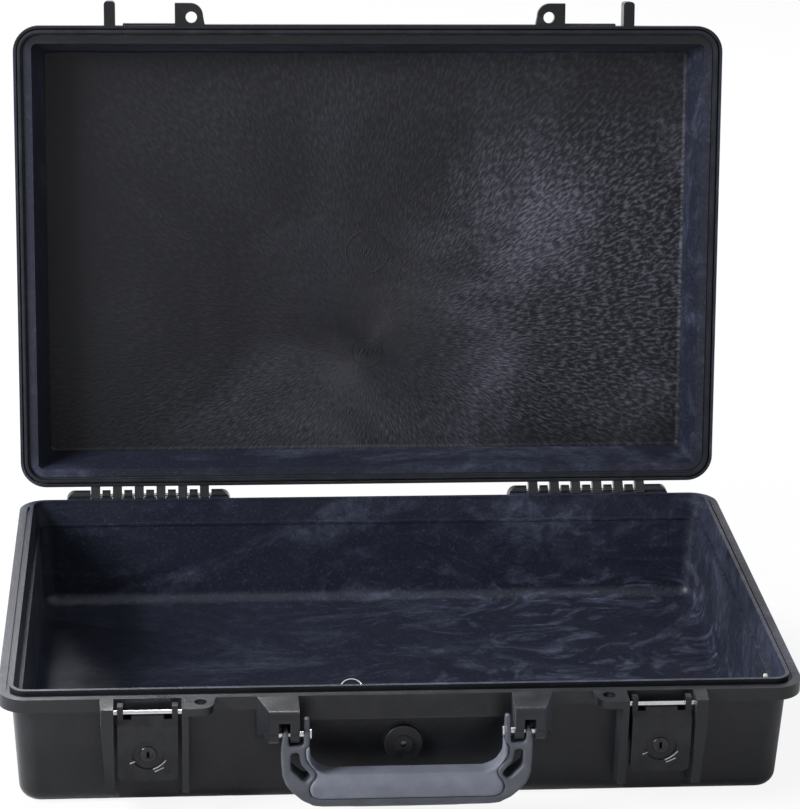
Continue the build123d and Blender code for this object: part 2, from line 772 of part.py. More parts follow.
# Latch lever: a creased cover with a sloping brow, a tongue and two ears at its
# pin, and two side flanges that carry the claw's pin
lever_edge_y = latch_pin_y - lever_edge_reach
lever_edge_z = latch_pin_z - lever_edge_drop
lever_brow_y = latch_pin_y - lever_brow_reach
lever_brow_z = latch_pin_z - lever_brow_drop
lever_web_z = latch_pin_z - lever_web_drop
lever_tongue_z = latch_pin_z - latch_pin_radius - 2 * running_gap
ear_half_gap = lever_width / 2 - ear_thickness
with BuildPart() as latch_lever:
    with BuildSketch(Plane.YZ.offset(latch_x - lever_width / 2)):
        Polygon(
            (lever_brow_y, lever_brow_z),
            (lever_edge_y, lever_edge_z),
            (lever_face_y, lever_crease_z),
            (latch_pin_y - lever_bottom_reach, lever_bottom_z),
            (lever_back_low_y, lever_bottom_z),
            (lever_back_y, lever_crease_z),
            (lever_back_y, lever_block_z),
            (latch_pin_y + ear_half_depth, lever_block_z),
            (latch_pin_y + ear_half_depth, lever_web_z),
            (lever_brow_y + lever_rim_width / 2, lever_web_z),
            align=None,
        )
    extrude(amount=lever_width)
    for start in (-lever_width / 2, lever_width / 2 - lever_rim_width):
        with BuildSketch(Plane.YZ.offset(latch_x + start)):
            Polygon(
                (lever_back_low_y - 1, lever_bottom_z),
                (lever_back_y - 1, lever_crease_z),
                (lever_back_y - 1, lever_block_z),
                (latch_pin_y, lever_web_z),
                (claw_pin_y + ear_half_depth, claw_pin_z + lever_flange_half),
                (claw_pin_y + ear_half_depth, claw_pin_z - lever_flange_half),
                (lever_back_y + lever_rim_depth, lever_crease_z),
                (lever_back_low_y + lever_rim_depth, lever_bottom_z),
                align=None,
            )
        extrude(amount=lever_rim_width)
    with BuildSketch(Plane.YZ.offset(latch_x - lever_tongue_width / 2)):
        Polygon(
            (lever_edge_y, lever_edge_z),
            (lever_edge_y, lever_block_z),
            (latch_pin_y + ear_half_depth, lever_block_z),
            (latch_pin_y + ear_half_depth, lever_tongue_z),
            (latch_pin_y - latch_pin_radius / 2, lever_tongue_z),
            align=None,
        )
    extrude(amount=lever_tongue_width)
    for start in (-ear_half_gap - ear_thickness, ear_half_gap):
        with BuildSketch(Plane.YZ.offset(latch_x + start)):
            with Locations((latch_pin_y, latch_pin_z)):
                Rectangle(
                    2 * ear_half_depth,
                    latch_pin_z - lever_block_z,
                    align=(Align.CENTER, Align.MAX),
                )
                Rectangle(
                    2 * ear_half_depth, ear_rise, align=(Align.CENTER, Align.MIN)
                )
        extrude(amount=ear_thickness)
    with BuildSketch(front_plane(front_y)):
        with Locations((latch_x, lever_bottom_z)):
            RectangleRounded(
                lever_width,
                2 * (base_height - lever_bottom_z),
                lever_corner,
                align=(Align.CENTER, Align.MIN),
            )
    extrude(amount=2 * rib_reach, mode=Mode.INTERSECT)
    with Locations((latch_x, latch_pin_y, latch_pin_z)):
        Cylinder(
            latch_pin_radius + running_gap, 2 * lever_width, rotation=(0, 90, 0), mode=Mode.SUBTRACT
        )
    with Locations((latch_x, claw_pin_y, claw_pin_z)):
        Cylinder(claw_pin_radius, 2 * lever_width, rotation=(0, 90, 0), mode=Mode.SUBTRACT)
    with Locations((latch_x, lever_face_y + lock_dish_depth, lock_z)):
        Cylinder(
            lock_dish_radius,
            2 * lever_skin,
            rotation=(90, 0, 0),
            align=(Align.CENTER, Align.CENTER, Align.MIN),
            mode=Mode.SUBTRACT,
        )
        Cylinder(lock_barrel_radius, 4 * lever_skin, rotation=(90, 0, 0), mode=Mode.SUBTRACT)
write_pair("latch_lever", latch_lever.part)

# Claw: a window frame that hangs from its pin behind the lever and ends in a hook
claw_back_y = claw_pin_y + claw_lean + claw_thickness / 2
with BuildPart() as latch_claw:
    with BuildSketch(Plane.YZ.offset(latch_x - claw_width / 2)):
        Polygon(
            (claw_pin_y - claw_thickness / 2, claw_pin_z),
            (claw_pin_y + claw_thickness / 2, claw_pin_z),
            (claw_back_y, claw_hook_z),
            (claw_back_y - claw_thickness / 2 - claw_hook_reach, claw_hook_z),
            (claw_back_y - claw_thickness / 2 - claw_hook_reach, claw_hook_z + claw_hook_height),
            (claw_back_y - claw_thickness, claw_hook_z + claw_hook_height),
            align=None,
        )
        with Locations((claw_pin_y, claw_pin_z)):
            Circle(claw_eye_radius)
    extrude(amount=claw_width)
    claw_window_top = claw_pin_z - 2 * claw_eye_radius
    claw_window_low = claw_hook_z + 2 * claw_hook_height
    with BuildSketch(front_plane(front_y)):
        with Locations((latch_x, (claw_window_top + claw_window_low) / 2)):
            Rectangle(claw_window_width, claw_window_top - claw_window_low)
    extrude(amount=2 * rib_reach, both=True, mode=Mode.SUBTRACT)
    with Locations((latch_x, claw_pin_y, claw_pin_z)):
        Cylinder(
            claw_pin_radius + running_gap, 2 * claw_width, rotation=(0, 90, 0), mode=Mode.SUBTRACT
        )
write_pair("latch_claw", latch_claw.part)

# Lock: barrel fixed in the lever; plug, cam and nut turn together
lock_seat_y = lever_face_y + lock_dish_depth
lock_front_y = lock_seat_y - lock_bezel_thickness
cam_back_y = cam_front_y + cam_thickness
lock_end_y = cam_back_y + lock_nut_thickness
with BuildPart() as lock_barrel:
    with BuildSketch(front_plane(lock_seat_y)):
        with Locations((latch_x, lock_z)):
            Circle(lock_bezel_radius)
    extrude(amount=lock_bezel_thickness)
    chamfer(lock_barrel.edges().group_by(Axis.Y)[0], lock_bezel_thickness / 3)
    with BuildSketch(front_plane(lock_seat_y)):
        with Locations((latch_x, lock_z)):
            Circle(lock_barrel_radius)
    extrude(amount=-(cam_front_y - keeper_gap - lock_seat_y))
    with BuildSketch(front_plane(cam_front_y)):
        with Locations((latch_x, lock_z)):
            Circle(lock_plug_radius + running_gap)
    extrude(amount=2 * rib_reach, mode=Mode.SUBTRACT)
write_pair("lock_barrel", lock_barrel.part)

with BuildPart() as lock_plug:
    with BuildSketch(front_plane(cam_front_y)):
        with Locations((latch_x, lock_z)):
            Circle(lock_plug_radius)
    extrude(amount=cam_front_y - lock_front_y - lock_bezel_thickness / 3)
    with BuildSketch(front_plane(lock_end_y)):
        with Locations((latch_x, lock_z)):
            Circle(lock_tail_radius)
    extrude(amount=lock_end_y - cam_front_y)
    with BuildSketch(front_plane(lock_front_y)):
        with Locations((latch_x, lock_z)):
            Rectangle(key_slot_width, key_slot_height)
    extrude(amount=-key_slot_height, mode=Mode.SUBTRACT)
write_pair("lock_plug", lock_plug.part)

with BuildPart() as lock_cam:
    with BuildSketch(front_plane(cam_back_y)):
        with Locations((latch_x, lock_z)):
            Circle(cam_width / 2)
            Rectangle(cam_width, cam_length, align=(Align.CENTER, Align.MAX))
            Circle(lock_tail_radius, mode=Mode.SUBTRACT)
    extrude(amount=cam_thickness)
write_pair("lock_cam", lock_cam.part)

with BuildPart() as lock_nut:
    with BuildSketch(front_plane(lock_end_y)):
        with Locations((latch_x, lock_z)):
            RegularPolygon(lock_nut_size / 2, 6, major_radius=False)
            Circle(lock_tail_radius, mode=Mode.SUBTRACT)
    extrude(amount=lock_nut_thickness)
write_pair("lock_nut", lock_nut.part)


# Handle: a stiff frame with arms, side windows and a band along its bottom, and a
# grip moulded round its bar. The outlines give X and the drop below the pivot.
handle_bottom_z = handle_pivot_z - handle_bottom_drop
frame_band_z = handle_pivot_z - frame_band_drop
grip_top_z = handle_pivot_z - grip_top_drop
grip_middle_z = (handle_bottom_z + grip_top_z) / 2
grip_bar_middle_z = (frame_band_z + grip_top_z) / 2
arm_outline = (
    (handle_outer_x, 6.0),
    (handle_outer_x - arm_corner / 2, -arm_corner),
    (handle_outer_x - 2 * arm_corner, -arm_radius),
    (outer_arm_inner_x + arm_corner / 2, -arm_radius),
    (outer_arm_inner_x, arm_corner - arm_radius),
    (outer_arm_inner_x, crossbar_drop - arm_corner),
    (outer_arm_inner_x - arm_corner, crossbar_drop),
    (inner_arm_outer_x + arm_corner, crossbar_drop),
    (inner_arm_outer_x, crossbar_drop - arm_corner),
    (inner_arm_outer_x, arm_corner / 2 - inner_arm_rise),
    (inner_arm_outer_x - arm_corner / 2, -inner_arm_rise),
    (inner_arm_inner_x + arm_corner / 2, -inner_arm_rise),
    (inner_arm_inner_x, arm_corner / 2 - inner_arm_rise),
    (inner_arm_inner_x, crossbar_drop),
)
seam_outline = (
    (61.2, 6.0),
    (62.7, 7.9),
    (62.8, 10.6),
    (62.1, 15.2),
    (59.8, 19.0),
    (57.1, 22.1),
    (56.1, 24.5),
    (57.0, 27.5),
    (59.7, 31.4),
    (60.3, 34.5),
    (59.0, 38.4),
    (55.6, 40.2),
    (51.6, frame_band_drop),
)
leg_outline = (
    (26.0, 48.2),
    (52.0, 47.4),
    (58.0, 46.0),
    (65.0, 41.6),
    (71.0, 36.2),
    (75.2, 30.8),
    (77.2, 25.3),
    (handle_outer_x, 17.8),
)
window_outline = (
    (72.0, 12.0),
    (71.0, 10.5),
    (67.7, 10.5),
    (66.6, 12.0),
    (66.3, 16.6),
    (64.3, 20.1),
    (59.6, 25.2),
    (59.6, 26.7),
    (62.2, 29.4),
    (64.9, 28.2),
    (71.3, 21.9),
    (72.0, 19.6),
)


def below_pivot(outline):
    """Points of an outline, from X and the drop below the handle's pivot."""
    return tuple((x, handle_pivot_z - drop) for x, drop in outline)


def frame_section(side):
    """One side of the frame seen from its end, from the arms down to the band."""
    return (
        (handle_y + side * arm_radius, handle_pivot_z),
        (handle_y + side * arm_radius, handle_pivot_z - frame_flare_top_drop),
        (handle_y + side * frame_band_depth / 2, handle_pivot_z - frame_flare_low_drop),
        (handle_y + side * frame_band_depth / 2, frame_band_z),
        (handle_y + side * frame_foot_bulge_half, handle_bottom_z + frame_foot_bulge_rise),
        (handle_y + side * frame_foot_half, handle_bottom_z),
    )


with BuildPart() as handle_core:
    with BuildSketch(front_plane(handle_y + frame_band_depth / 2)):
        Polygon(
            *below_pivot(arm_outline),
            *below_pivot(seam_outline),
            (0, frame_band_z),
            (0, handle_bottom_z),
            *below_pivot(leg_outline),
            align=None,
        )
        Polygon(*below_pivot(window_outline), align=None, mode=Mode.SUBTRACT)
    extrude(amount=frame_band_depth)
    with BuildSketch(Plane.YZ):
        Polygon(*frame_section(-1), *reversed(frame_section(1)), align=None)
        with Locations((handle_y, handle_pivot_z)):
            Circle(arm_radius)
            Rectangle(arm_radius, inner_arm_rise, align=(Align.CENTER, Align.MIN))
    extrude(amount=handle_outer_x, mode=Mode.INTERSECT)
    with Locations((handle_pin_middle_x, handle_y, handle_pivot_z)):
        Cylinder(
            handle_pin_radius + running_gap,
            2 * handle_pin_length,
            rotation=(0, 90, 0),
            mode=Mode.SUBTRACT,
        )
    add(mirror(handle_core.part, about=Plane.YZ, mode=Mode.PRIVATE))
    with Locations((0, handle_y, grip_bar_middle_z)):
        Box(2 * inner_arm_inner_x, grip_bar_depth, grip_bar_height)
write("handle_core", handle_core.part)

with BuildPart() as handle_grip:
    right_edge = below_pivot(seam_outline)
    left_edge = tuple((-x, z) for x, z in reversed(right_edge))
    with BuildSketch(front_plane(handle_y + grip_depth / 2)):
        Polygon(*right_edge, *left_edge, align=None)
        with Locations((0, grip_top_z)):
            RectangleRounded(
                2 * inner_arm_inner_x,
                2 * handle_bottom_drop,
                grip_corner_radius,
                align=(Align.CENTER, Align.MIN),
                mode=Mode.SUBTRACT,
            )
    extrude(amount=grip_depth)
    with BuildSketch(Plane.YZ.offset(-handle_outer_x)):
        with Locations((handle_y, grip_middle_z)):
            RectangleRounded(grip_depth, grip_top_z - handle_bottom_z, grip_round)
            Rectangle(grip_end_depth, 2 * handle_bottom_drop, align=(Align.CENTER, Align.MIN))
    extrude(amount=2 * handle_outer_x, mode=Mode.INTERSECT)
    add(handle_core.part, mode=Mode.SUBTRACT)
write("handle_grip", handle_grip.part)

with BuildPart() as handle_pin:
    with Locations((handle_pin_middle_x, handle_y, handle_pivot_z)):
        Cylinder(handle_pin_radius, handle_pin_length, rotation=(0, 90, 0))
    with Locations((inner_arm_inner_x - 2 * running_gap, handle_y, handle_pivot_z)):
        Cylinder(
            handle_pin_head_radius,
            handle_pin_head,
            rotation=(0, 90, 0),
            align=(Align.CENTER, Align.CENTER, Align.MAX),
        )
    with Locations((inner_arm_inner_x, handle_y, handle_pivot_z)):
        Cylinder(handle_pin_radius, handle_pin_head, rotation=(0, 90, 0))
write_pair("handle_pin", handle_pin.part)


# Pressure valve: flanged housing, membrane, sealing ring and a nut inside
with BuildPart() as valve_housing:
    with BuildSketch(front_plane(valve_seat_y)):
        with Locations((0, valve_z)):
            Circle(valve_flange_radius)
    extrude(amount=valve_flange_thickness)
    fillet(valve_housing.edges().group_by(Axis.Y)[0], seal_ring_radius)
    with BuildSketch(front_plane(valve_seat_y - valve_flange_thickness)):
        with Locations((0, valve_z)):
            Circle(valve_hub_radius)
    extrude(amount=valve_hub_height)
    with BuildSketch(front_plane(valve_seat_y)):
        with Locations((0, valve_z)):
            Circle(valve_barrel_radius)
    extrude(amount=-valve_barrel_length)
    with BuildSketch(front_plane(valve_seat_y + valve_barrel_length)):
        with Locations((0, valve_z)):
            Circle(valve_bore_radius)
    extrude(amount=valve_barrel_length, mode=Mode.SUBTRACT)
    with BuildSketch(front_plane(valve_seat_y)):
        with Locations((0, valve_z)):
            Circle(vent_radius)
    extrude(amount=2 * valve_flange_thickness, mode=Mode.SUBTRACT)
    with Locations(Location((0, valve_seat_y, valve_z), (90, 0, 0))):
        Torus(valve_flange_radius - 2 * seal_ring_radius, seal_ring_radius, mode=Mode.SUBTRACT)
write("valve_housing", valve_housing.part)

with BuildPart() as valve_membrane:
    with BuildSketch(front_plane(valve_seat_y + membrane_thickness)):
        with Locations((0, valve_z)):
            Circle(valve_bore_radius)
    extrude(amount=membrane_thickness)
write("valve_membrane", valve_membrane.part)

with BuildPart() as valve_o_ring:
    with Locations(Location((0, valve_seat_y, valve_z), (90, 0, 0))):
        Torus(valve_flange_radius - 2 * seal_ring_radius, seal_ring_radius)
    with BuildSketch(front_plane(valve_seat_y)):
        with Locations((0, valve_z)):
            Circle(valve_flange_radius)
    extrude(amount=valve_flange_thickness, mode=Mode.INTERSECT)
write("valve_o_ring", valve_o_ring.part)

with BuildPart() as valve_nut:
    with BuildSketch(front_plane(valve_nut_seat_y)):
        with Locations((0, valve_z)):
            RegularPolygon(valve_nut_size / 2, 6, major_radius=False)
            Circle(valve_barrel_radius, mode=Mode.SUBTRACT)
    extrude(amount=-valve_nut_thickness)
write("valve_nut", valve_nut.part)

with BuildPart() as nameplate:
    with BuildSketch(front_plane(front_y + nameplate_thickness)):
        with Locations((0, nameplate_z)):
            RectangleRounded(nameplate_width, nameplate_height, nameplate_edge)
    extrude(amount=nameplate_thickness)
write("nameplate", nameplate.part)


# Keys and their ring; the ring leans and each key hangs from one side of it
ring_z = floor_thickness + key_ring_wire + key_ring_radius * sin(radians(key_ring_tilt))
with BuildPart() as keys:
    for side, turn in zip((-1, 1), key_turns):
        hole = (key_ring_x + side * key_ring_radius, key_ring_y, ring_z)
        reach = cos(radians(key_slope))
        drop = sin(radians(key_slope))
        along = (cos(radians(turn)) * reach, sin(radians(turn)) * reach, -drop)
        upward = (cos(radians(turn)) * drop, sin(radians(turn)) * drop, reach)
        with BuildSketch(Plane(origin=hole, x_dir=along, z_dir=upward)):
            with Locations((key_hole_offset, 0)):
                Circle(key_bow_radius)
                Rectangle(
                    key_bow_radius + key_blade_length,
                    key_blade_width,
                    align=(Align.MIN, Align.CENTER),
                )
            Circle(key_hole_radius, mode=Mode.SUBTRACT)
        extrude(amount=key_thickness / 2, both=True)
write("keys", keys.part)

with BuildPart() as key_ring:
    with Locations(Location((key_ring_x, key_ring_y, ring_z), (key_ring_tilt, 0, 0))):
        Torus(key_ring_radius, key_ring_wire)
write("key_ring", key_ring.part)
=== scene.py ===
from math import cos, radians, sin

import bpy
from mathutils import Matrix, Vector


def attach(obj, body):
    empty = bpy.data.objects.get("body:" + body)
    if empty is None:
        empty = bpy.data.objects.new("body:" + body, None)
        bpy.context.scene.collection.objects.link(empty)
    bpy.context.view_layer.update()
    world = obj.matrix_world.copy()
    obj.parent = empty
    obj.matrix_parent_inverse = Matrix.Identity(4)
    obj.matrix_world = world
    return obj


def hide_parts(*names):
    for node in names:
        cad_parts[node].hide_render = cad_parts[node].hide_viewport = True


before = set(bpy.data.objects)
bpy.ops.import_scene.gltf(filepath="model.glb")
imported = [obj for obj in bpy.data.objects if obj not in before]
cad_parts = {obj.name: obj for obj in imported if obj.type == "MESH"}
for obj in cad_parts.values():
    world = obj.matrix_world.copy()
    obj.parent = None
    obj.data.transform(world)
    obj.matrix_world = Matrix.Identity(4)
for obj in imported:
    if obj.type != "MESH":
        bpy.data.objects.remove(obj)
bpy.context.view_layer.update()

# Places that repeat the frame's own, in metres
HINGE = Vector((0, 0.1725, 0.0783))
LID_ANGLE = radians(99.1)
LID_GAP = 0.0003  # between the flanges when the case is shut
FRONT = -0.166
LATCH_X = 0.1596
LOCK_Z = 0.0462
LEVER_FACE = -0.18
CEILING = 0.0342  # the lid's ceiling over the flanges' joint when the case is shut
TRAY_INSIDE = (0.2435, 0.1565, 0.002)  # half width, half depth, floor of the tray's inner skin
LID_INSIDE = (0.2455, 0.159, 0.0345)  # half width, half depth, top of the lid's inner skin

# The photographer's camera
CAMERA_PLACE = (-0.1410, -1.7910, 0.8599)
CAMERA_PITCH, CAMERA_ROLL, CAMERA_YAW = radians(19.907), radians(1.078), radians(4.723)
PICTURE_WIDTH = 800
FOCAL_PIXELS = 2897.4
SENSOR_WIDTH = 36


# ---------------------------------------------------------------- camera, lights, floor
def stand_camera():
    """Sets up the camera where the photographer stood, low and a little to the left."""
    pitch, roll, yaw = CAMERA_PITCH, CAMERA_ROLL, CAMERA_YAW
    ahead = Vector((sin(yaw) * cos(pitch), cos(yaw) * cos(pitch), -sin(pitch)))
    right = Vector((cos(yaw), -sin(yaw), 0))
    up = right.cross(ahead)
    tilted_right = cos(roll) * right + sin(roll) * up
    tilted_up = cos(roll) * up - sin(roll) * right
    lens = bpy.data.cameras.new("camera")
    lens.sensor_fit = "HORIZONTAL"
    lens.sensor_width = SENSOR_WIDTH
    lens.lens = SENSOR_WIDTH * FOCAL_PIXELS / PICTURE_WIDTH
    camera = bpy.data.objects.new("camera", lens)
    turn = Matrix((tilted_right, tilted_up, -ahead)).transposed().to_4x4()
    camera.matrix_world = Matrix.Translation(CAMERA_PLACE) @ turn
    bpy.context.scene.collection.objects.link(camera)
    bpy.context.scene.camera = camera


def hang_lamp(name, place, aim, size, power):
    """Adds a soft square lamp at place that shines towards aim."""
    light = bpy.data.lights.new(name, "AREA")
    light.shape = "SQUARE"
    light.size = size
    light.energy = power
    lamp = bpy.data.objects.new(name, light)
    lamp.location = place
    lamp.rotation_euler = (Vector(aim) - Vector(place)).to_track_quat("-Z", "Y").to_euler()
    bpy.context.scene.collection.objects.link(lamp)


def seen_white(nodes, links, in_gloss=1.0):
    """A share that is 1 where camera or glass look at the backdrop, in_gloss for gloss."""
    path = nodes.new("ShaderNodeLightPath")
    gloss = nodes.new("ShaderNodeMath")
    gloss.operation = "MULTIPLY"
    gloss.inputs[1].default_value = in_gloss
    links.new(path.outputs["Is Glossy Ray"], gloss.inputs[0])
    either = nodes.new("ShaderNodeMath")
    either.operation = "MAXIMUM"
    links.new(path.outputs["Is Camera Ray"], either.inputs[0])
    links.new(gloss.outputs[0], either.inputs[1])
    any_ray = nodes.new("ShaderNodeMath")
    any_ray.operation = "MAXIMUM"
    links.new(either.outputs[0], any_ray.inputs[0])
    links.new(path.outputs["Is Transmission Ray"], any_ray.inputs[1])
    return any_ray.outputs[0]


def light_studio():
    """A pale sky that shows white behind the case, a window at its left, a lamp behind it."""
    world = bpy.data.worlds.new("studio")
    bpy.context.scene.world = world
    world.use_nodes = True
    nodes, links = world.node_tree.nodes, world.node_tree.links
    nodes.clear()
    output = nodes.new("ShaderNodeOutputWorld")
    mix = nodes.new("ShaderNodeMixShader")
    soft = nodes.new("ShaderNodeBackground")
    soft.inputs["Color"].default_value = (0.86, 0.92, 1.0, 1)
    soft.inputs["Strength"].default_value = 0.28
    white = nodes.new("ShaderNodeBackground")
    white.inputs["Color"].default_value = (1, 1, 1, 1)
    white.inputs["Strength"].default_value = 1.0
    links.new(seen_white(nodes, links), mix.inputs["Fac"])
    links.new(soft.outputs[0], mix.inputs[1])
    links.new(white.outputs[0], mix.inputs[2])
    links.new(mix.outputs[0], output.inputs["Surface"])
    hang_lamp("window_lamp", (-1.62, -0.72, 1.14), (0, 0, 0.15), 0.8, 62)
    hang_lamp("back_lamp", (-0.45, 1.65, 1.9), (0, -0.18, 0.07), 0.8, 74)


def lay_floor():
    """A white floor that keeps the case's shadow."""
    bpy.ops.mesh.primitive_plane_add(size=8, location=(0, 0, 0))
    floor = bpy.context.object
    floor.name = "floor"
    paint = bpy.data.materials.new("white_floor")
    paint.use_nodes = True
    nodes, links = paint.node_tree.nodes, paint.node_tree.links
    nodes.clear()
    output = nodes.new("ShaderNodeOutputMaterial")
    mix = nodes.new("ShaderNodeMixShader")
    matt = nodes.new("ShaderNodeBsdfDiffuse")
    matt.inputs["Color"].default_value = (0.8, 0.8, 0.8, 1)
    glow = nodes.new("ShaderNodeEmission")
    glow.inputs["Strength"].default_value = 1.0
    share = nodes.new("ShaderNodeMath")
    share.operation = "MULTIPLY"
    share.inputs[1].default_value = 0.9
    links.new(seen_white(nodes, links, 0.22), share.inputs[0])
    links.new(share.outputs[0], mix.inputs["Fac"])
    links.new(matt.outputs[0], mix.inputs[1])
    links.new(glow.outputs[0], mix.inputs[2])
    links.new(mix.outputs[0], output.inputs["Surface"])
    floor.data.materials.append(paint)


# ---------------------------------------------------------------- finishes
class Finish:
    """A Principled material with the few helpers that the finishes below share."""

    def __init__(self, name, colour, roughness, metallic=0.0):
        self.material = bpy.data.materials.new(name)
        self.material.use_nodes = True
        self.nodes = self.material.node_tree.nodes
        self.links = self.material.node_tree.links
        self.shader = self.nodes["Principled BSDF"]
        self.shader.inputs["Base Color"].default_value = (*colour, 1)
        self.shader.inputs["Roughness"].default_value = roughness
        self.shader.inputs["Metallic"].default_value = metallic
        self.place = self.nodes.new("ShaderNodeTexCoord").outputs["Object"]

    def gloss(self, level):
        """Sets how much the surface mirrors where it is seen straight on."""
        self.shader.inputs["Specular IOR Level"].default_value = level

    def dust(self, weight):
        """A pale bluish haze that shows where the surface is seen edge-on."""
        self.shader.inputs["Sheen Weight"].default_value = weight
        self.shader.inputs["Sheen Roughness"].default_value = 0.35
        self.shader.inputs["Sheen Tint"].default_value = (0.78, 0.84, 1.0, 1)

    def turned(self, angles, stretch=(1, 1, 1)):
        """Object coordinates turned and then squeezed, for patterns with a direction."""
        mapping = self.nodes.new("ShaderNodeMapping")
        mapping.inputs["Rotation"].default_value = tuple(radians(a) for a in angles)
        mapping.inputs["Scale"].default_value = stretch
        self.links.new(self.place, mapping.inputs["Vector"])
        return mapping.outputs[0]

    def noise(self, size, detail=3.0, rough=0.55, place=None, distort=0.0):
        """Cloudy noise whose lumps are about size metres across."""
        node = self.nodes.new("ShaderNodeTexNoise")
        node.inputs["Scale"].default_value = 1 / size
        node.inputs["Detail"].default_value = detail
        node.inputs["Roughness"].default_value = rough
        node.inputs["Distortion"].default_value = distort
        self.links.new(place or self.place, node.inputs["Vector"])
        return node.outputs["Fac"]

    def split(self):
        """The three object coordinates."""
        node = self.nodes.new("ShaderNodeSeparateXYZ")
        self.links.new(self.place, node.inputs[0])
        return node.outputs

    def maths(self, operation, a, b):
        """One maths step on sockets or plain numbers."""
        node = self.nodes.new("ShaderNodeMath")
        node.operation = operation
        for socket, value in zip(node.inputs, (a, b)):
            if isinstance(value, (int, float)):
                socket.default_value = value
            else:
                self.links.new(value, socket)
        return node.outputs[0]

    def fan(self, centre, reach, squeeze):
        """Coordinates that run round a centre and, squeezed, away from it, in the XZ plane."""
        x, _, z = self.split()
        across = self.maths("SUBTRACT", x, centre[0])
        up = self.maths("SUBTRACT", z, centre[1])
        turn = self.times(self.maths("ARCTAN2", across, up), reach)
        square = self.plus(self.times(across, across), self.times(up, up))
        away = self.times(self.maths("SQRT", square, 0), squeeze)
        join = self.nodes.new("ShaderNodeCombineXYZ")
        self.links.new(turn, join.inputs[0])
        self.links.new(away, join.inputs[1])
        return join.outputs[0]

    def patch(self, centre, half, ragged):
        """A soft-edged oval mark in the XZ plane: 1 in its middle, 0 outside it."""
        x, _, z = self.split()
        across = self.maths("DIVIDE", self.maths("SUBTRACT", x, centre[0]), half[0])
        up = self.maths("DIVIDE", self.maths("SUBTRACT", z, centre[1]), half[1])
        square = self.plus(self.times(across, across), self.times(up, up))
        edge = self.times(self.noise(0.03, 4, distort=0.5), 2 * ragged)
        return self.spread(self.plus(square, edge), 0.2 + ragged, 1.2 + ragged, 1, 0)

    def cells(self, size):
        """Rounded pebbles about size metres across."""
        node = self.nodes.new("ShaderNodeTexVoronoi")
        node.feature = "SMOOTH_F1"
        node.inputs["Scale"].default_value = 1 / size
        self.links.new(self.place, node.inputs["Vector"])
        return node.outputs["Distance"]

    def spread(self, value, low, high, to_low=0.0, to_high=1.0):
        """Maps low..high of a value onto to_low..to_high, clamped."""
        node = self.nodes.new("ShaderNodeMapRange")
        node.inputs["From Min"].default_value = low
        node.inputs["From Max"].default_value = high
        node.inputs["To Min"].default_value = to_low
        node.inputs["To Max"].default_value = to_high
        self.links.new(value, node.inputs["Value"])
        return node.outputs[0]

    def times(self, a, b):
        return self.maths("MULTIPLY", a, b)

    def plus(self, a, b):
        return self.maths("ADD", a, b)

    def blend(self, share, a, b):
        """One of two colours, or a colour socket and a colour, by share."""
        node = self.nodes.new("ShaderNodeMix")
        node.data_type = "RGBA"
        self.links.new(share, node.inputs["Factor"])
        for socket, colour in ((node.inputs[6], a), (node.inputs[7], b)):
            if isinstance(colour, tuple):
                socket.default_value = (*colour, 1)
            else:
                self.links.new(colour, socket)
        return node.outputs[2]

    def paint(self, colour):
        self.links.new(colour, self.shader.inputs["Base Color"])

    def polish(self, value):
        self.links.new(value, self.shader.inputs["Roughness"])

    def relief(self, height, depth, under=None):
        """Bumps the surface by depth metres; under is a relief that it lies on."""
        node = self.nodes.new("ShaderNodeBump")
        node.inputs["Distance"].default_value = depth
        self.links.new(height, node.inputs["Height"])
        if under is not None:
            self.links.new(under, node.inputs["Normal"])
        self.links.new(node.outputs[0], self.shader.inputs["Normal"])
        return node.outputs[0]


def shell_outside():
    """Spark-eroded black plastic: an even fine pebble with a slow variation of gloss."""
    f = Finish("shell_outside", (0.008, 0.0085, 0.0105), 0.45)
    f.gloss(0.28)
    f.dust(0.12)
    cloud = f.spread(f.noise(0.05, 5), 0.38, 0.7)
    scuff = f.spread(f.noise(0.006, 6, 0.7, f.turned((0, 35, 0), (1, 1, 0.3))), 0.62, 0.8, 0, 0.5)
    f.paint(f.blend(f.plus(cloud, scuff), (0.006, 0.0063, 0.008), (0.0135, 0.014, 0.0175)))
    f.polish(f.spread(f.noise(0.02, 3), 0.3, 0.7, 0.27, 0.38))
    coarse = f.relief(f.noise(0.0022, 2), 0.00013)
    f.relief(f.cells(0.0007), 0.00008, coarse)
    return f.material


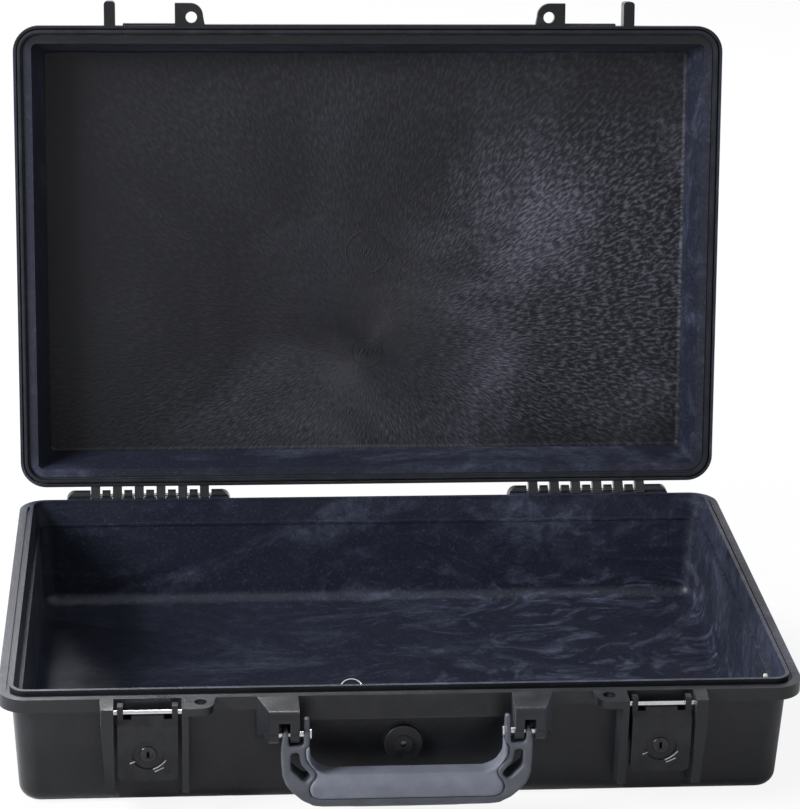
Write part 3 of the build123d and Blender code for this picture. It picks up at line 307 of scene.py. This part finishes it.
def shell_inside():
    """The moulding's inner skin: bluish, with chalky smears and faint flow swirls. The swirls
    grow paler towards the tray floor's right as painted light, and the lid's top wall is painted
    near black as painted shade.
    """
    f = Finish("shell_inside", (0.008, 0.0095, 0.016), 0.42)
    f.gloss(0.28)
    f.dust(0.05)
    flow = f.turned((0, 0, 25), (0.45, 1, 1))
    smear = f.spread(f.noise(0.11, 8, 0.6, flow, 1.8), 0.5, 0.72)
    x, _, z = f.split()
    # Painted light: the swirls on the tray's floor are real marks, made paler from the floor's
    # left to its right
    painted_light_right_floor = f.times(f.spread(x, -0.06, 0.12, 0.3, 1.7), f.spread(z, 0.012, 0.03, 1, 0.35))
    eddies = f.turned((0, 0, -20), (0.6, 1, 1))
    swirl = f.spread(f.noise(0.045, 9, 0.68, eddies, 3.0), 0.5, 0.66)
    wisps = f.spread(f.noise(0.010, 6, 0.72, f.turned((15, 0, 35), (1, 3.0, 1))), 0.42, 0.78)
    specks = f.spread(f.noise(0.0022, 3, 0.6), 0.55, 0.8, 0, 0.35)
    share = f.plus(f.plus(f.times(smear, wisps), f.spread(smear, 0, 1, 0, 0.16)), specks)
    share = f.plus(share, f.times(f.times(swirl, painted_light_right_floor), f.spread(wisps, 0, 1, 0.25, 0.9)))
    chalky = f.blend(share, (0.0105, 0.0125, 0.023), (0.085, 0.097, 0.15))
    # Painted shade: the lid's top inner wall, which faces down, is painted near black
    painted_shade_top_wall = f.spread(z, 0.39, 0.402)
    f.paint(f.blend(painted_shade_top_wall, chalky, (0.002, 0.0024, 0.004)))
    f.polish(f.spread(f.noise(0.03, 5), 0.3, 0.7, 0.32, 0.5))
    coarse = f.relief(f.noise(0.0032, 4, 0.65), 0.00022)
    f.relief(f.cells(0.0010), 0.0001, coarse)
    return f.material


def lid_lining():
    """The lid's ceiling: short fibres that fan out from the gate, and chalky clouds, made paler
    towards its right side as painted light.
    """
    gate = (0.0, 0.175)
    f = Finish("lid_lining", (0.012, 0.0125, 0.016), 0.5)
    f.gloss(0.2)
    f.dust(0.04)
    hair = f.noise(0.0016, 3, 0.6, f.fan(gate, 0.16, 0.3))
    x, _, z = f.split()
    # Painted light: the ceiling's marks grow paler from its left to its right
    painted_light_rightward = f.spread(x, -0.2, 0.2, 0.2, 1.1)
    cloud = f.spread(f.noise(0.13, 7, 0.6, distort=0.9), 0.42, 0.72)
    # The low patch is real scuffing; the high patch on the right is painted light
    low = f.patch((0.0, 0.135), (0.17, 0.045), 0.35)
    high = f.patch((0.17, 0.225), (0.14, 0.12), 0.2)
    chalk = f.times(f.spread(hair, 0.3, 0.7, 0.1, 1), cloud)
    share = f.plus(f.spread(hair, 0.46, 0.7, 0, 0.62), chalk)
    scuff_and_light_patches = f.plus(f.spread(low, 0, 1, 0.28, 0.7), f.spread(high, 0, 1, 0, 0.95))
    share = f.times(share, scuff_and_light_patches)
    share = f.times(share, painted_light_rightward)
    f.paint(f.blend(share, (0.0055, 0.0058, 0.0082), (0.105, 0.107, 0.14)))
    f.polish(f.spread(hair, 0.3, 0.7, 0.38, 0.6))
    f.relief(hair, 0.00045)
    return f.material


def lever_plastic():
    """The latches' smoother black plastic, with faint worn clouds."""
    f = Finish("lever_plastic", (0.007, 0.0072, 0.0085), 0.3)
    f.gloss(0.25)
    worn = f.spread(f.noise(0.012, 5), 0.4, 0.7)
    f.paint(f.blend(worn, (0.0055, 0.0057, 0.007), (0.012, 0.0125, 0.015)))
    f.polish(f.spread(f.noise(0.006, 4), 0.3, 0.7, 0.24, 0.4))
    f.relief(f.noise(0.0008, 3), 0.00004)
    return f.material


def satin_plastic(name, colour, pale):
    """Plain moulded plastic with a fine pebble, paler in clouds."""
    f = Finish(name, colour, 0.45)
    f.gloss(0.35)
    f.paint(f.blend(f.spread(f.noise(0.02, 5), 0.4, 0.7), colour, pale))
    f.polish(f.spread(f.noise(0.01, 4), 0.3, 0.7, 0.36, 0.55))
    f.relief(f.cells(0.0006), 0.00004)
    return f.material


def soft_rubber(name, colour, pale):
    """Dull rubber with a fine grain, paler in clouds."""
    f = Finish(name, colour, 0.6)
    f.gloss(0.2)
    f.paint(f.blend(f.spread(f.noise(0.015, 6), 0.4, 0.7), colour, pale))
    f.polish(f.spread(f.noise(0.008, 4), 0.3, 0.7, 0.5, 0.7))
    f.relief(f.noise(0.0006, 2), 0.00003)
    return f.material


def metal(name, colour, roughness):
    """Ground metal with fine lines across the case and a few duller spots."""
    f = Finish(name, colour, roughness, 1.0)
    lines = f.noise(0.0006, 2, 0.5, f.turned((0, 0, 0), (0.1, 1, 1)))
    dull = f.spread(f.noise(0.004, 4), 0.45, 0.75)
    f.paint(f.blend(dull, colour, tuple(0.72 * c for c in colour)))
    fine = f.spread(lines, 0.3, 0.7, 0.5 * roughness, roughness)
    f.polish(f.plus(fine, f.spread(dull, 0, 1, 0, 0.15)))
    f.relief(lines, 0.00001)
    return f.material


def woven_membrane():
    """The valve's white cloth."""
    f = Finish("membrane", (0.85, 0.85, 0.85), 0.85)
    f.paint(f.blend(f.spread(f.cells(0.0003), 0.2, 0.7), (0.9, 0.9, 0.9), (0.6, 0.6, 0.6)))
    f.relief(f.cells(0.0003), 0.00005)
    return f.material


# ---------------------------------------------------------------- hand tools
def only(*pieces):
    """Selects just these pieces, the first of them active."""
    bpy.ops.object.select_all(action="DESELECT")
    for piece in pieces:
        piece.select_set(True)
    bpy.context.view_layer.objects.active = pieces[0]


def press(piece, kind, **settings):
    """Adds a modifier and applies it."""
    only(piece)
    modifier = piece.modifiers.new(kind.lower(), kind)
    for key, value in settings.items():
        setattr(modifier, key, value)
    bpy.ops.object.modifier_apply(modifier=modifier.name)


def smooth(piece, angle):
    """Smooths the shading over edges that are flatter than the angle in degrees."""
    only(piece)
    bpy.ops.object.shade_smooth_by_angle(angle=radians(angle))


def soften(piece, width):
    """Rounds every sharp edge a little, and smooths the shading."""
    press(
        piece, "BEVEL", width=width, segments=2, limit_method="ANGLE",
        angle_limit=radians(30), use_clamp_overlap=True, miter_outer="MITER_ARC",
    )
    smooth(piece, 32)
    press(piece, "WEIGHTED_NORMAL", keep_sharp=True, weight=70)


def round_edges(piece, wanted, width):
    """Bevels the sharp edges whose middle is wanted, wider than the rest of the piece."""
    only(piece)
    bpy.ops.object.mode_set(mode="EDIT")
    bpy.ops.mesh.select_mode(type="EDGE")
    bpy.ops.mesh.select_all(action="DESELECT")
    bpy.ops.mesh.edges_select_sharp(sharpness=radians(40))
    bpy.ops.object.mode_set(mode="OBJECT")
    points = piece.data.vertices
    for edge in piece.data.edges:
        a, b = (points[i].co for i in edge.vertices)
        edge.select = edge.select and wanted((a + b) / 2)
    bpy.ops.object.mode_set(mode="EDIT")
    bpy.ops.mesh.bevel(offset=width, segments=3, affect="EDGES", clamp_overlap=True)
    bpy.ops.object.mode_set(mode="OBJECT")


def turn_on_lathe(name, centre, facing, profile, steps=64):
    """A ring or knob: a circle that is extruded and resized along a (radius, height) profile.

    A profile that ends where it began closes on itself; one that ends at a small radius is
    filled there.
    """
    bpy.ops.object.select_all(action="DESELECT")
    radius, height = profile[0]
    bpy.ops.mesh.primitive_circle_add(
        vertices=steps, radius=radius, location=centre + facing * height,
        rotation=facing.to_track_quat("Z", "Y").to_euler(),
    )
    piece = bpy.context.object
    piece.name = piece.data.name = name
    bpy.ops.object.mode_set(mode="EDIT")
    bpy.ops.mesh.select_all(action="SELECT")
    for new_radius, new_height in profile[1:]:
        step = facing * (new_height - height)
        bpy.ops.mesh.extrude_region_move(TRANSFORM_OT_translate={"value": step})
        size = new_radius / radius
        bpy.ops.transform.resize(
            value=(size, size, size), center_override=centre + facing * new_height,
        )
        radius, height = new_radius, new_height
    if profile[-1] != profile[0]:
        bpy.ops.mesh.edge_face_add()
    bpy.ops.mesh.select_all(action="SELECT")
    bpy.ops.mesh.remove_doubles(threshold=0.000005)
    bpy.ops.mesh.normals_make_consistent(inside=False)
    bpy.ops.object.mode_set(mode="OBJECT")
    bpy.ops.object.transform_apply(location=True, rotation=True, scale=True)
    smooth(piece, 50)
    return piece


def raised_bar(name, centre, facing, along, size):
    """A small moulded bar with round edges that lies on a surface, its foot sunk in it."""
    bpy.ops.object.select_all(action="DESELECT")
    bpy.ops.mesh.primitive_cube_add(size=1, location=(0, 0, 0))
    piece = bpy.context.object
    piece.name = piece.data.name = name
    bpy.ops.object.mode_set(mode="EDIT")
    bpy.ops.mesh.select_all(action="SELECT")
    bpy.ops.transform.resize(value=size)
    bpy.ops.mesh.bevel(offset=0.45 * min(size), segments=3, affect="EDGES")
    bpy.ops.object.mode_set(mode="OBJECT")
    across = facing.cross(along)
    turn = Matrix((along, across, facing)).transposed().to_4x4()
    piece.matrix_world = Matrix.Translation(centre) @ turn
    only(piece)
    bpy.ops.object.transform_apply(location=True, rotation=True, scale=True)
    smooth(piece, 50)
    return piece


def join_up(name, parts):
    """Joins a few small pieces into one."""
    only(*parts)
    bpy.ops.object.join()
    piece = bpy.context.object
    piece.name = piece.data.name = name
    return piece


def melt(piece, voxel, rounds):
    """Turns hard corners into soft moulded ones: an even skin, relaxed and then thinned out."""
    press(piece, "REMESH", mode="VOXEL", voxel_size=voxel, use_smooth_shade=True)
    press(piece, "SMOOTH", factor=0.5, iterations=rounds)
    press(piece, "DECIMATE", decimate_type="COLLAPSE", ratio=0.45)
    only(piece)
    bpy.ops.object.shade_smooth()


def take_moulding(node, name, join_flats=True):
    """A merged copy of a CAD node's surface, to be worked on as a new piece."""
    only(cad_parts[node])
    bpy.ops.object.duplicate()
    piece = bpy.context.object
    piece.name = piece.data.name = name
    piece.data.materials.clear()
    bpy.ops.mesh.customdata_custom_splitnormals_clear()
    bpy.ops.object.mode_set(mode="EDIT")
    bpy.ops.mesh.select_all(action="SELECT")
    bpy.ops.mesh.remove_doubles(threshold=0.00001)
    if join_flats:
        bpy.ops.mesh.dissolve_limited(angle_limit=radians(0.6))
    bpy.ops.object.mode_set(mode="OBJECT")
    return piece


def settle(piece, body, *nodes, slot=None):
    """Puts a finished piece on its body, in place of the nodes it stands for."""
    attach(piece, body)
    if nodes:
        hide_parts(*nodes)


def finish_node(node, material):
    """Gives a CAD node that is shown as it is its finish."""
    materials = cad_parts[node].data.materials
    materials.clear()
    materials.append(material)


def give_faces(piece, index, wanted):
    """Sets the finish of every face whose middle and normal are wanted."""
    for face in piece.data.polygons:
        if wanted(face.center, face.normal):
            face.material_index = index


# ---------------------------------------------------------------- the case
stand_camera()
light_studio()
lay_floor()

outside, inside, ceiling = shell_outside(), shell_inside(), lid_lining()


def on_tray_fins(middle):
    """The top edges of the hinge fins and their end blocks."""
    return middle.y > HINGE.y - 0.005 and middle.z > 0.0765


def on_front_hardware(middle):
    """Edges of the brackets, tabs and rib caps that stand out from the front."""
    return middle.y < FRONT - 0.002 and middle.z > 0.069


def faces_out(c, n):
    """Whether a face looks down, or sideways and away from the case's middle."""
    steepness, away = max((abs(n.x), n.x * c.x), (abs(n.y), n.y * c.y))
    return n.z < -0.5 or (steepness > 0.5 and away > 0)


def in_tray(c, n):
    """Whether a face belongs to the tray's inner skin."""
    half_width, half_depth, floor = TRAY_INSIDE
    inside = abs(c.x) < half_width and abs(c.y) < half_depth and c.z > floor
    return inside and not faces_out(c, n)


tray = take_moulding("base_shell", "tray")
round_edges(tray, on_tray_fins, 0.0011)
round_edges(tray, on_front_hardware, 0.0009)
soften(tray, 0.0005)
tray.data.materials.append(outside)
tray.data.materials.append(inside)
give_faces(tray, 1, in_tray)
settle(tray, "base", "base_shell", slot="shell_plastic")


def when_shut(point):
    """Where a point on the open lid lies when the lid is shut."""
    dy, dz = point.y - HINGE.y, point.z - HINGE.z
    y = dy * cos(LID_ANGLE) - dz * sin(LID_ANGLE)
    z = dy * sin(LID_ANGLE) + dz * cos(LID_ANGLE)
    return Vector((point.x, HINGE.y + y, z + LID_GAP))


def on_lid_fins(middle):
    """The corners where the lid's fins meet its flange."""
    p = when_shut(middle)
    return 0.1655 < p.y < 0.170 and abs(middle.x) > 0.09


def on_lid_tabs(middle):
    """Edges of the posts and tabs that stand out from the lid's front."""
    return when_shut(middle).y < FRONT - 0.002


lid = take_moulding("lid_shell", "lid")
round_edges(lid, on_lid_fins, 0.0012)
round_edges(lid, on_lid_tabs, 0.0008)
soften(lid, 0.0005)
for finish in (outside, inside, ceiling):
    lid.data.materials.append(finish)
settle(lid, "lid", "lid_shell", slot="shell_plastic")


def in_lid(c, n):
    """Whether a face belongs to the lid's inner skin."""
    half_width, half_depth, top = LID_INSIDE
    p = when_shut(c)
    normal = when_shut(c + n) - p
    looks_out = any(
        normal[axis] * p[axis] > 0 and abs(normal[axis]) > 0.5 for axis in (0, 1)
    )
    return abs(p.x) < half_width and abs(p.y) < half_depth and p.z < top and not looks_out


def on_ceiling(c, n):
    return in_lid(c, n) and when_shut(c).z > CEILING - 0.0017


give_faces(lid, 1, in_lid)
give_faces(lid, 2, on_ceiling)


def open_place(x, y, z):
    """Where a point of the shut lid lies when the lid stands open."""
    dy, dz = y - HINGE.y, z - LID_GAP
    up = HINGE.z - dy * sin(LID_ANGLE) + dz * cos(LID_ANGLE)
    return Vector((x, HINGE.y + dy * cos(LID_ANGLE) + dz * sin(LID_ANGLE), up))


# Moulders' rings on the lid's ceiling, each with a few short strokes in it
RINGS = ((0.0, 0.016), (0.074, 0.0115))  # place down the lid, radius
RING_WIDTH, RING_HEIGHT, RING_ROOT = 0.001, 0.00034, -0.0004
STROKE_SPACING, STROKE_LENGTH, STROKE_LEAN = 0.0032, 0.0055, 0.45
facing = (open_place(0, 0, 0) - open_place(0, 0, 1)).normalized()
rise = (open_place(0, -1, 0) - open_place(0, 0, 0)).normalized()
lean = (rise + Vector((STROKE_LEAN, 0, 0))).normalized()
marks = []
for number, (down, radius) in enumerate(RINGS):
    centre = open_place(0, down, CEILING)
    inner, edge, shoulder = radius - RING_WIDTH, 0.0003, 0.00018
    ring = (
        (radius, RING_ROOT), (radius, shoulder), (radius - edge, RING_HEIGHT),
        (inner + edge, RING_HEIGHT), (inner, shoulder), (inner, RING_ROOT), (radius, RING_ROOT),
    )
    marks.append(turn_on_lathe(f"ceiling_ring_{number}", centre, facing, ring))
    strokes = 4 + number
    for stroke in range(strokes):
        side = Vector((1, 0, 0)) * (stroke - (strokes - 1) / 2) * STROKE_SPACING
        size = (STROKE_LENGTH + 0.0012 * (stroke % 2), 0.0009, 0.0007)
        name = f"ceiling_stroke_{number}_{stroke}"
        marks.append(raised_bar(name, centre + side, facing, lean, size))
ceiling_marks = join_up("ceiling_marks", marks)
ceiling_marks.data.materials.append(ceiling)
settle(ceiling_marks, "lid", slot="shell_plastic")

rubber = soft_rubber("gasket_rubber", (0.009, 0.010, 0.014), (0.018, 0.0195, 0.026))
steel = metal("pin_steel", (0.5, 0.5, 0.52), 0.3)
bright = metal("ring_steel", (0.75, 0.75, 0.77), 0.2)
key_metal = metal("key_metal", (0.8, 0.8, 0.82), 0.25)
dark_lock = metal("lock_metal", (0.035, 0.035, 0.04), 0.32)
lever_skin = lever_plastic()
frame_plastic = satin_plastic("handle_plastic", (0.05, 0.053, 0.067), (0.078, 0.082, 0.10))
grip_rubber = soft_rubber("grip_rubber", (0.125, 0.133, 0.165), (0.155, 0.164, 0.20))
valve_plastic = satin_plastic("valve_plastic", (0.008, 0.0083, 0.0105), (0.014, 0.0145, 0.018))
white_cloth = woven_membrane()
# Pale grey for the lock ticks: painted highlight of the glints round each lock
tick_highlight_plastic = satin_plastic("tick_highlight_plastic", (0.16, 0.165, 0.18), (0.3, 0.31, 0.33))
# Pale grey for the wall peg: painted highlight
peg_highlight_plastic = satin_plastic("peg_highlight_plastic", (0.5, 0.5, 0.5), (0.62, 0.62, 0.62))

# Its flat faces are rings, which a bevel can't take once they are joined
gasket = take_moulding("lid_gasket", "gasket", join_flats=False)
soften(gasket, 0.0006)
gasket.data.materials.append(rubber)
settle(gasket, "lid", "lid_gasket", slot="gasket_rubber")

core = take_moulding("handle_core", "handle_frame")
melt(core, 0.0008, 9)
core.data.materials.append(frame_plastic)
settle(core, "handle", "handle_core", slot="handle_plastic")

grip = take_moulding("handle_grip", "grip")
melt(grip, 0.0009, 7)
grip.data.materials.append(grip_rubber)
settle(grip, "handle", "handle_grip", slot="grip_rubber")

for side in ("left", "right"):
    lever = take_moulding(f"latch_lever_{side}", f"lever_{side}")
    soften(lever, 0.0006)
    lever.data.materials.append(lever_skin)
    settle(lever, f"latch_{side}", f"latch_lever_{side}", slot="lever_plastic")
    claw = take_moulding(f"latch_claw_{side}", f"claw_{side}")
    soften(claw, 0.0004)
    claw.data.materials.append(lever_skin)
    settle(claw, f"claw_{side}", f"latch_claw_{side}", slot="claw_plastic")
    for node, material in (
        ("hinge_pin", steel), ("latch_pin", steel), ("claw_pin", steel), ("handle_pin", steel),
        ("lock_barrel", dark_lock), ("lock_plug", dark_lock),
        ("lock_cam", bright), ("lock_nut", bright),
    ):
        finish_node(f"{node}_{side}", material)

# Moulded position ticks round each lock: a short one at its left, a long double one at its right,
# each from start to end in millimetres from the lock's middle, and its width in metres. Their
# pale grey is painted highlight, for the glints on the rim round the lock.
TICKS = (
    ((-11.0, -5.6), (-8.2, -4.4), 0.0009),
    ((3.2, -9.8), (6.3, -8.3), 0.0008), ((6.1, -8.4), (8.9, -6.2), 0.0008),
    ((8.8, -6.3), (10.9, -4.0), 0.0008), ((4.2, -11.4), (9.6, -8.8), 0.0007),
)
TICK_HEIGHT, TICK_OVERLAP = 0.0009, 0.0006
for side, sign in (("left", -1), ("right", 1)):
    lock_x = sign * LATCH_X
    ticks = []
    for number, (start, end, width) in enumerate(TICKS):
        a, b = (
            Vector((lock_x + x / 1000, LEVER_FACE, LOCK_Z + z / 1000)) for x, z in (start, end)
        )
        length = (b - a).length + TICK_OVERLAP
        bar = raised_bar(
            f"tick_{side}_{number}", (a + b) / 2, Vector((0, -1, 0)), (b - a).normalized(),
            (length, width, TICK_HEIGHT),
        )
        ticks.append(bar)
    lock_ticks = join_up(f"lock_ticks_{side}", ticks)
    lock_ticks.data.materials.append(tick_highlight_plastic)
    settle(lock_ticks, f"latch_{side}", slot="lever_plastic")

# A small peg on the tray's right inner wall, pale grey as painted highlight of the light on it
PEG_PLACE = Vector((0.2393, -0.112, 0.0605))
PEG_PROFILE = ((0.0016, -0.003), (0.0016, 0.0016), (0.0013, 0.0022), (0.0008, 0.0024))
peg_facing = Vector((-1, 0, 0.12)).normalized()
peg = turn_on_lathe("wall_peg", PEG_PLACE, peg_facing, PEG_PROFILE, steps=32)
peg.data.materials.append(peg_highlight_plastic)
settle(peg, "base", slot="shell_plastic")

finish_node("valve_housing", valve_plastic)
finish_node("valve_nut", valve_plastic)
finish_node("valve_membrane", white_cloth)
finish_node("valve_o_ring", rubber)
finish_node("nameplate", lever_skin)
finish_node("keys", key_metal)
finish_node("key_ring", bright)

bpy.context.scene.view_settings.view_transform = "Standard"
